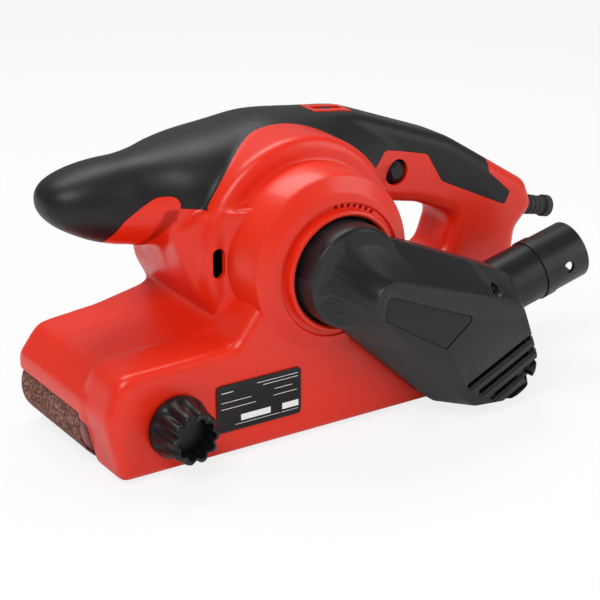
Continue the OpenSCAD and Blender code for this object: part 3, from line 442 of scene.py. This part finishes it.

# %% [markdown]
# Real plastic is never one flat value. A shared node group mixes slow noise into the
# roughness, tints worn edges by pointiness and gives fine noise as the faint texture's height.

# %% A shared surface group


def surface_group():
    group = bpy.data.node_groups.new("moulded_surface", "ShaderNodeTree")
    for name, kind, value in (("Scale", "NodeSocketFloat", 900.0), ("Roughness", "NodeSocketFloat", 0.4),
                              ("Variation", "NodeSocketFloat", 0.06), ("Edge", "NodeSocketFloat", 0.1)):
        group.interface.new_socket(name=name, in_out="INPUT", socket_type=kind).default_value = value
    for name in ("Base", "Worn"):
        group.interface.new_socket(name=name, in_out="INPUT", socket_type="NodeSocketColor")
    outputs = (("Color", "NodeSocketColor"), ("Roughness", "NodeSocketFloat"), ("Height", "NodeSocketFloat"))
    for name, kind in outputs:
        group.interface.new_socket(name=name, in_out="OUTPUT", socket_type=kind)
    n, link = group.nodes, group.links.new
    start, end = n.new("NodeGroupInput"), n.new("NodeGroupOutput")
    place = n.new("ShaderNodeTexCoord")
    fine, slow = n.new("ShaderNodeTexNoise"), n.new("ShaderNodeTexNoise")
    fine.inputs["Detail"].default_value = 3
    slow.inputs["Scale"].default_value, slow.inputs["Detail"].default_value = 38, 4
    link(place.outputs["Object"], fine.inputs["Vector"])
    link(place.outputs["Object"], slow.inputs["Vector"])
    link(start.outputs["Scale"], fine.inputs["Scale"])
    point = n.new("ShaderNodeNewGeometry")
    edge = n.new("ShaderNodeMapRange")
    edge.inputs["From Min"].default_value, edge.inputs["From Max"].default_value = 0.53, 0.62
    link(point.outputs["Pointiness"], edge.inputs["Value"])
    amount = n.new("ShaderNodeMath")
    amount.operation = "MULTIPLY"
    link(edge.outputs["Result"], amount.inputs[0])
    link(start.outputs["Edge"], amount.inputs[1])
    tint = n.new("ShaderNodeMix")
    tint.data_type = "RGBA"
    link(amount.outputs[0], tint.inputs["Factor"])
    link(start.outputs["Base"], tint.inputs["A"])
    link(start.outputs["Worn"], tint.inputs["B"])
    link(tint.outputs["Result"], end.inputs["Color"])
    centred = n.new("ShaderNodeMath")
    centred.operation = "SUBTRACT"
    centred.inputs[1].default_value = 0.5
    link(slow.outputs["Fac"], centred.inputs[0])
    rough = n.new("ShaderNodeMath")
    rough.operation = "MULTIPLY_ADD"
    link(centred.outputs[0], rough.inputs[0])
    link(start.outputs["Variation"], rough.inputs[1])
    link(start.outputs["Roughness"], rough.inputs[2])
    link(rough.outputs[0], end.inputs["Roughness"])
    link(fine.outputs["Fac"], end.inputs["Height"])
    return group


SURFACE = surface_group()


def finish(
        name, base, rough, worn=None, metal=0, coat=0, scale=900, bump=0.02, depth=0.0002,
        vary=0.3, edge=0.35, specular=0.5, pattern=None):
    """A material with varied roughness, worn edges and a fine bump. A pattern may replace them."""
    mat = bpy.data.materials.new(name)
    mat.use_nodes = True
    n, link = mat.node_tree.nodes, mat.node_tree.links.new
    shader = n["Principled BSDF"]
    shader.inputs["Metallic"].default_value = metal
    shader.inputs["Coat Weight"].default_value = coat
    shader.inputs["Coat Roughness"].default_value = 0.08
    shader.inputs["Specular IOR Level"].default_value = specular
    surface = n.new("ShaderNodeGroup")
    surface.node_tree = SURFACE
    worn = worn or tuple(min(1, c * 1.5 + 0.02) for c in base)
    for key, value in (
            ("Scale", scale), ("Variation", vary * rough), ("Edge", edge),
            ("Base", (*base, 1)), ("Worn", (*worn, 1))):
        surface.inputs[key].default_value = value
    surface.inputs["Roughness"].default_value = rough
    link(surface.outputs["Color"], shader.inputs["Base Color"])
    link(surface.outputs["Roughness"], shader.inputs["Roughness"])
    lift = n.new("ShaderNodeBump")
    lift.inputs["Strength"].default_value = bump
    lift.inputs["Distance"].default_value = depth
    link(surface.outputs["Height"], lift.inputs["Height"])
    link(lift.outputs["Normal"], shader.inputs["Normal"])
    if pattern:
        pattern(n, link, shader, lift)
    return mat


# %% [markdown]
# Sanding cloth is dark resin with grains of a lighter brown. Fine noise gives the
# grains their colours, and a pattern of cells lifts the surface.

# %% The finishes


def grit(n, link, shader, lift):
    place = n.new("ShaderNodeTexCoord")
    cells, flecks = n.new("ShaderNodeTexVoronoi"), n.new("ShaderNodeTexNoise")
    cells.inputs["Scale"].default_value = 1100
    flecks.inputs["Scale"].default_value, flecks.inputs["Detail"].default_value = 620, 6
    ramp = n.new("ShaderNodeValToRGB")
    ramp.color_ramp.elements[0].position, ramp.color_ramp.elements[0].color = 0.36, (0.055, 0.016, 0.010, 1)
    ramp.color_ramp.elements[1].position, ramp.color_ramp.elements[1].color = 0.68, (0.48, 0.24, 0.19, 1)
    middle_tone = ramp.color_ramp.elements.new(0.52)
    middle_tone.color = (0.20, 0.072, 0.048, 1)
    link(place.outputs["Object"], cells.inputs["Vector"])
    link(place.outputs["Object"], flecks.inputs["Vector"])
    link(flecks.outputs["Fac"], ramp.inputs["Fac"])
    link(ramp.outputs["Color"], shader.inputs["Base Color"])
    link(cells.outputs["Distance"], lift.inputs["Height"])


RED = finish(
    "housing_red", (0.76, 0.020, 0.0025), 0.36, (0.85, 0.06, 0.02),
    coat=0.12, scale=700, bump=0.015, edge=0.25, specular=0.4)
GRIP_BLACK = finish(
    "grip_black", (0.008, 0.008, 0.009), 0.44, (0.03, 0.03, 0.033),
    scale=1900, bump=0.12, edge=0.3, specular=0.34)
COVER_BLACK = finish(
    "cover_black", (0.007, 0.007, 0.008), 0.36, (0.035, 0.035, 0.038),
    scale=1500, bump=0.10, edge=0.4, specular=0.34)
KNOB_BLACK = finish(
    "knob_black", (0.005, 0.005, 0.006), 0.32, (0.03, 0.03, 0.033), scale=1500, bump=0.06, specular=0.32)
LABEL_BLACK = finish(
    "label_black", (0.002, 0.002, 0.003), 0.16, coat=0.15, scale=400, bump=0.004, specular=0.3)
LABEL_WHITE = finish("label_white", (0.82, 0.82, 0.82), 0.35, scale=400, bump=0.01)
SLEEVE_GREY = finish("sleeve_grey", (0.040, 0.041, 0.045), 0.55, scale=1600, bump=0.12)
ABRASIVE = finish("abrasive", (0.2, 0.072, 0.048), 0.9, bump=0.9, depth=0.0006, pattern=grit)
STEEL = finish("ground_steel", (0.56, 0.57, 0.59), 0.26, metal=1, scale=2600, bump=0.03)
DARK_STEEL = finish("laminated_steel", (0.22, 0.22, 0.24), 0.40, metal=1, scale=2200, bump=0.08)
PLATED = finish("plated_screws", (0.66, 0.65, 0.62), 0.22, metal=1, scale=1500, bump=0.02)
ALLOY = finish("cast_alloy", (0.62, 0.63, 0.65), 0.42, metal=1, scale=1300, bump=0.18)
COPPER = finish("copper_wire", (0.72, 0.28, 0.11), 0.32, metal=1, scale=3000, bump=0.20)
BRASS = finish("brass", (0.72, 0.50, 0.18), 0.30, metal=1, scale=1500, bump=0.03)
CARBON = finish("carbon", (0.03, 0.03, 0.032), 0.55, scale=1500, bump=0.1)
RUBBER = finish("black_rubber", (0.02, 0.02, 0.021), 0.75, scale=1400, bump=0.15)
CORK = finish("cork_pad", (0.17, 0.12, 0.08), 0.9, scale=650, bump=0.5)
NYLON = finish("natural_nylon", (0.62, 0.60, 0.52), 0.45, scale=1200, bump=0.05)
INNER = finish("inner_plastic", (0.05, 0.05, 0.055), 0.5, scale=1300, bump=0.1)
BOARD = finish("potted_board", (0.02, 0.12, 0.06), 0.4, scale=900, bump=0.05)
print("finishes:", len(bpy.data.materials))

# %% [markdown]
# Every mechanical part takes a finish that suits it. The inner parts keep their shape,
# and so do the dust tube, cord sleeve, trigger, lock button, speed wheel, screws and belt.

# %% Finishes for the mechanical parts
SLOT_FINISH = {
    "housing_red": RED, "grip_black": GRIP_BLACK, "cover_black": COVER_BLACK, "gloss_black": LABEL_BLACK,
    "abrasive": ABRASIVE, "aluminium": ALLOY, "steel": STEEL, "dark_steel": DARK_STEEL, "screw_steel": PLATED,
    "spring_steel": STEEL, "copper": COPPER, "brass": BRASS, "carbon": CARBON, "rubber": RUBBER,
    "pad": CORK, "inner_plastic": INNER, "pulley": NYLON, "board": BOARD}
for part in frame["record"]["subparts"]:
    node = frame["nodes"][part["node"]]
    node.data.materials.clear()
    node.data.materials.append(SLOT_FINISH[part["material_slot"]])
print("finished", len(frame["nodes"]), "mechanical parts")

# %% [markdown]
# The fused skin is hollowed, the belt's space and the cover's opening are cut out of it,
# and a side-view outline divides it into the soft black grip and the red shells.

# %% Shells and grips
arch = ROLLER.x
belt_space = plate("belt_space", [wrap([(-arch, ROLLER.z, 26.5), (arch, ROLLER.z, 26.5)])], -40, 80, 1)
below = block("below", -200, 200, -40, 80, -20, ROLLER.z)
opening = bar("opening", COVER[0][0], COVER[0][1], 33.4, -100, -56)
trigger_slot = block("trigger_slot", 94, 132, SPLIT - 6.5, SPLIT + 6.5, 88, 123)
lock_hole = bar("lock_hole", 118, 129, 8.6, -60, SPLIT)
wheel_slot = block("wheel_slot", 67.5, 88.5, SPLIT - 3.4, SPLIT + 3.4, 155, 190)
screw_recess = plate("screw_recess", [wrap([(-31, 103, 3.7), (-31, 114, 3.7)])], -90, -41, 0.4)
bezel_slot = block("bezel_slot", 63.5, 92.5, SPLIT - 8.5, SPLIT + 8.5, 166, 190)
cavity = cut(hollow, [block("cavity_top", -200, 300, -200, 200, 51, 300)], "INTERSECT")
skin = cut(skin, [cavity, belt_space, below, opening, trigger_slot, lock_hole, wheel_slot, screw_recess])
print("hollow skin", len(skin.data.polygons), "faces")

region = plate("region", [rounded(GRIP)], -90, 120, 0.01, 0)
seam_region = plate("seam_region", [rounded(grow(GRIP, SEAM))], -90, 120, 0.01, 0)
drum_keep = turned("drum_keep", [(0, -90), (DRUM_R + 0.3, -90), (DRUM_R + 0.3, 90), (0, 90)])
region = cut(region, [drum_keep], "DIFFERENCE", keep=True)
seam_region = cut(seam_region, [drum_keep])
inserts = plate("inserts", [rounded(INSERT)], -60, 60, 0.01, 0)
wide_inserts = plate("wide_inserts", [rounded(grow(INSERT, SEAM))], -60, 60, 0.01, 0)
grip = cut(copy_of(skin, "grip"), [region], "INTERSECT")
grip = cut(grip, [wide_inserts, bezel_slot], "DIFFERENCE")
inserts = cut(copy_of(skin, "inserts_skin"), [inserts], "INTERSECT")
shell = cut(copy_of(skin, "shell"), [seam_region])
bpy.data.objects.remove(skin)


def halves(piece, name):
    left = block("left_side", -300, 400, -200, SPLIT - SEAM / 2, -50, 300)
    right = block("right_side", -300, 400, SPLIT + SEAM / 2, 200, -50, 300)
    other = copy_of(piece, name + "_right")
    a = cut(piece, [left], "INTERSECT")
    a.name = name + "_left"
    return a, cut(other, [right], "INTERSECT")


shell_left, shell_right = halves(shell, "shell")
grip_left, grip_right = halves(grip, "grip")
insert_left, insert_right = halves(inserts, "knob_insert")
for piece, slot, look, nodes in (
        (shell_left, "housing_red", RED, ("left_housing",)),
        (shell_right, "housing_red", RED, ("right_housing",)),
        (grip_left, "grip_black", GRIP_BLACK, ("left_grip",)),
        (grip_right, "grip_black", GRIP_BLACK, ("right_grip",)),
        (insert_left, "housing_red", RED, ()),
        (insert_right, "housing_red", RED, ())):
    finish_piece(piece, "root", slot, look, *nodes, angle=28)

# %% [markdown]
# The motor's housing ends in a ring with a sloping face. Its lip follows the cover's
# round neck, which sits a little off the motor's axis, so the lip is cut off centre.

# %% Motor ring
neck_x, neck_z = COVER[0][:2]
ring = turned("motor_ring", [
    (0, -46), (RING_R + 0.6, -46), (RING_R, -73.5), (51.8, -75.8), (44, -79.6), (42.6, -80.2), (0, -80.2)])
groove = turned("groove", [
    (0, -90), (40.6, -90), (40.6, -79.4), (39.6, -78.6), (0, -78.6)], neck_x, neck_z)
lip = turned("lip", [
    (0, -60), (36.8, -60), (36.8, -82.6), (36.2, -83.6), (35.2, -84), (0, -84)], neck_x, neck_z)
bore = turned("bore", [
    (0, -90), (34.4, -90), (34.4, -84), (33.3, -83), (33.3, -40), (0, -40)], neck_x, neck_z)
ring = cut(ring, [groove])
ring = cut(ring, [lip], "UNION")
vents = []
VENTS, VENT_START, VENT_STEP = 7, -4, 6.5
to_neck = Matrix.Translation((neck_x * MM, 0, neck_z * MM))
for k in range(VENTS):
    vent = block("vent", -1.1, 1.1, -90, -72, 37.2, 39.4)
    vent.data.transform(to_neck @ Matrix.Rotation(math.radians(VENT_START + VENT_STEP * k), 4, "Y"))
    vents.append(vent)
ring = cut(ring, [bore, *vents])
ring = tidy(ring, 2e-6)
finish_piece(ring, "root", "housing_red", RED)

# %% [markdown]
# The drive cover is a shell that slopes from a wide foot to a smaller face. Two outlines
# with the same number of points are bridged, so the slopes come out as clean planes.

# %% Drive cover


def cover_shell(name, wall, back):
    """The cover's outside, or with a wall its inside."""
    foot, face, edge = wrap(COVER, -wall), wrap(FACE, -wall * 1.3), wrap(FACE, -wall * 1.3 - 0.9)
    steps = ((foot, back), (foot, COVER_BEND), (face, COVER_RIM + wall), (edge, COVER_FACE + wall))
    return loft(name, [level(outline, y) for outline, y in steps])


cover = cover_shell("drive_cover", 0, COVER_FOOT)
cover_neck = turned("cover_neck", [
    (0, -64), (30.8, -64), (31.2, -90), (30.4, -96), (28.4, -97.6), (0, -97.6)], neck_x, neck_z)
cover = cut(cover, [cover_neck], "UNION")
inside_neck = bar("inside_neck", neck_x, neck_z, 28.4, -95, -50)
cover = cut(cover, [cover_shell("cover_inside", COVER_WALL, -70), inside_neck])

plate_corners = [(40, 80, 2), (84, 52.5, 2), (104, 68, 2), (42, 94, 2)]
tools = [plate("plate_recess", [rounded(grow(plate_corners, 0.6))], -120, -110.9, 0.2)]
step_corners = [(43, 103, 1), (90, 87, 20), (131, 76, 1), (150, 90, 2), (60, 130, 2)]
tools.append(plate("crease", [rounded(step_corners)], -130, -111.2, 0.2))
COVER_SLOTS = 4
for i in range(COVER_SLOTS):
    x, z = 103 + 9 * i, 24 - 6 * i
    far_x, far_z = 176 + 4 * i, 58 - 7.5 * i
    tools.append(plate("slot", [wrap([(x, z, 1.7), (far_x, far_z, 1.7)])], -130, -104, 0.3))
    tools.append(plate("rim", [wrap([(x, z, 3.1), (far_x, far_z, 3.1)])], -130, -111.3, 0.2))
screw_places = [(ROLLER.x + 26, 80), (ROLLER.x + 51, 20)]
tools += [bar("screw_hole", x, z, 3.4, -120, -90) for x, z in screw_places]
cover = cut(cover, tools)
edge = cover.modifiers.new("edge", "BEVEL")
edge.width, edge.segments = 0.35 * MM, 2
edge.limit_method, edge.angle_limit = "ANGLE", math.radians(38)
cover = baked(cover)
finish_piece(cover, "root", "cover_black", COVER_BLACK, "belt_cover", angle=30)

baffle = plate("baffle", [wrap(FACE, -3.5)], -107.2, -105.6, 0.2)
finish_piece(baffle, "root", "cover_black", COVER_BLACK)

name_plate = plate("cover_plate", [rounded(plate_corners)], -111.5, -110.9, 0.15)
finish_piece(name_plate, "root", "gloss_black", LABEL_BLACK, "cover_nameplate")

# %% [markdown]
# The rating label is a black film with two blank white fields and a few thin rules.
# It carries no words.

# %% Rating label
low, high = (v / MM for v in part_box("rating_plate"))
x0, x1, z0, z1, film = low.x, high.x, low.z, high.z, low.y
label_corners = [(x0, z0, 2.5), (x1, z0, 2.5), (x1, z1, 2.5), (x0, z1, 2.5)]
label = plate("rating_label", [rounded(label_corners)], film, film + 0.6, 0.12)
finish_piece(label, "root", "gloss_black", LABEL_BLACK, "rating_plate")
marks = [(x0 + 16, x0 + 36, z0 + 5.2, z0 + 9), (x1 - 13, x1 - 1.8, z0 + 5.2, z0 + 9)]
marks += [(x0 + 12, x1 - 15, z0 + 3.4, z0 + 3.65), (x1 - 14, x1 - 2, z0 + 3.4, z0 + 3.65)]
marks += [
    (x0 + 3, x0 + 11, z1 - 5, z1 - 4.6), (x0 + 3, x0 + 23, z1 - 11, z1 - 10.7),
    (x0 + 3, x0 + 26, z1 - 15, z1 - 14.7), (x1 - 30, x1 - 2, z1 - 3.6, z1 - 3.3),
    (x1 - 26, x1 - 2, z1 - 5.6, z1 - 5.3), (x1 - 18, x1 - 6, z1 - 10, z1 - 9.7),
    (x1 - 19, x1 - 3, z1 - 14, z1 - 13.7)]
boxes = [block("field", a, b, film - 0.02, film + 0.2, c, d) for a, b, c, d in marks]
fields = joined("label_fields", boxes)
finish_piece(fields, "root", "gloss_black", LABEL_WHITE)

# %% [markdown]
# The tracking knob tapers, with ten soft lobes for the fingers and a deep lobed socket in
# its end. Its rings follow a cosine, and bridging them gives lobes that fade into the base.

# %% Tracking knob
low, high = (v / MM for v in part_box("tracking_knob"))
knob_x, knob_z = (low.x + high.x) / 2, (low.z + high.z) / 2


def lobed(radius, depth, y, lobes=10, around=120):
    ring = []
    for k in range(around):
        a = 2 * math.pi * k / around
        r = radius - depth * (0.5 - 0.5 * math.cos(lobes * a)) ** 2
        ring.append((knob_x + r * math.cos(a), y, knob_z + r * math.sin(a)))
    return ring


# Radius, depth of the lobes and distance from the base
outside = [
    (18.2, 0, 0), (18.9, 0, 1), (18.9, 0, 3), (18, 0.4, 5), (17.2, 2.2, 8),
    (16.4, 2.8, 14), (15.8, 3, 20), (15.2, 2.8, 22), (14.2, 2.4, 22.8)]
recess = [(11.4, 1.5, 13), (12.2, 1.9, 21.6), (12.9, 1.9, 24)]
knob = loft("tracking_knob_outer", [lobed(r, lobe, high.y - y) for r, lobe, y in outside])
socket = loft("socket", [lobed(r, lobe, high.y - y) for r, lobe, y in recess])
stem = bar("stem", knob_x, knob_z, 3.05, high.y - 12, high.y + 5)
knob = cut(knob, [socket, stem])
finish_piece(knob, "tracking", "cover_black", KNOB_BLACK, "tracking_knob", angle=40)

# %% [markdown]
# The stage is a pale floor and a white surround. Light comes from large soft panels, so
# the gloss on the plastic shows as broad calm highlights.

# %% Floor, surround and lamps


def stage_finish():
    mat = bpy.data.materials.new("floor_white")
    mat.use_nodes = True
    n, link = mat.node_tree.nodes, mat.node_tree.links.new
    shader, out = n["Principled BSDF"], n["Material Output"]
    shader.inputs["Base Color"].default_value = (0.9, 0.9, 0.9, 1)
    shader.inputs["Roughness"].default_value = 0.9
    white, path, mix, part = (n.new("ShaderNode" + k) for k in ("Emission", "LightPath", "MixShader", "Math"))
    part.operation = "MULTIPLY"
    part.inputs[1].default_value = 0.82
    link(path.outputs["Is Camera Ray"], part.inputs[0])
    link(part.outputs[0], mix.inputs["Fac"])
    link(shader.outputs[0], mix.inputs[1])
    link(white.outputs[0], mix.inputs[2])
    link(mix.outputs[0], out.inputs["Surface"])
    return mat


bm = bmesh.new()
bmesh.ops.create_grid(bm, x_segments=1, y_segments=1, size=6)
bmesh.ops.translate(bm, verts=bm.verts, vec=(0, 0, FLOOR_Z - 0.0002))
floor_mesh = bpy.data.meshes.new("floor")
bm.to_mesh(floor_mesh)
bm.free()
floor = add("floor", floor_mesh)
floor.data.materials.append(stage_finish())
floor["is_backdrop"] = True

world = bpy.data.worlds.new("surround")
scene.world = world
world.use_nodes = True
wn, wl = world.node_tree.nodes, world.node_tree.links.new
back = wn["Background"]
back.inputs["Color"].default_value = (1, 1, 1, 1)
path, either, strength = wn.new("ShaderNodeLightPath"), wn.new("ShaderNodeMath"), wn.new("ShaderNodeMapRange")
either.operation = "MAXIMUM"
wl(path.outputs["Is Camera Ray"], either.inputs[0])
wl(path.outputs["Is Transmission Ray"], either.inputs[1])
strength.inputs["To Min"].default_value, strength.inputs["To Max"].default_value = 0.30, 1.0
wl(either.outputs[0], strength.inputs["Value"])
wl(strength.outputs["Result"], back.inputs["Strength"])


def lamp(name, at, towards, width, height, watts):
    light = bpy.data.lights.new(name, "AREA")
    light.shape, light.size, light.size_y, light.energy = "RECTANGLE", width, height, watts
    obj = bpy.data.objects.new(name, light)
    obj.location = at
    obj.rotation_mode = "QUATERNION"
    obj.rotation_quaternion = (Vector(towards) - Vector(at)).to_track_quat("-Z", "Y")
    scene.collection.objects.link(obj)


lamp("key", (-0.75, -0.7, 1.15), (0.02, 0, 0.06), 0.7, 0.7, 12)
lamp("fill", (0.95, -0.9, 0.55), (0.05, 0, 0.06), 0.6, 0.9, 5)
lamp("top", (0.1, 0.55, 1.2), (0.05, 0, 0.1), 0.9, 0.5, 8)
print("lamps:", len(bpy.data.lights))

# %% [markdown]
# The last cell measures the looks and prints how far they reach outside the
# mechanical model's box.

# %% Sizes and the end
low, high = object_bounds()
below_box = [round(max(0, a - b) / MM, 2) for a, b in zip(cad_low, low)]
above_box = [round(max(0, b - a) / MM, 2) for a, b in zip(cad_high, high)]
print("outside the box by", below_box, above_box, "mm")
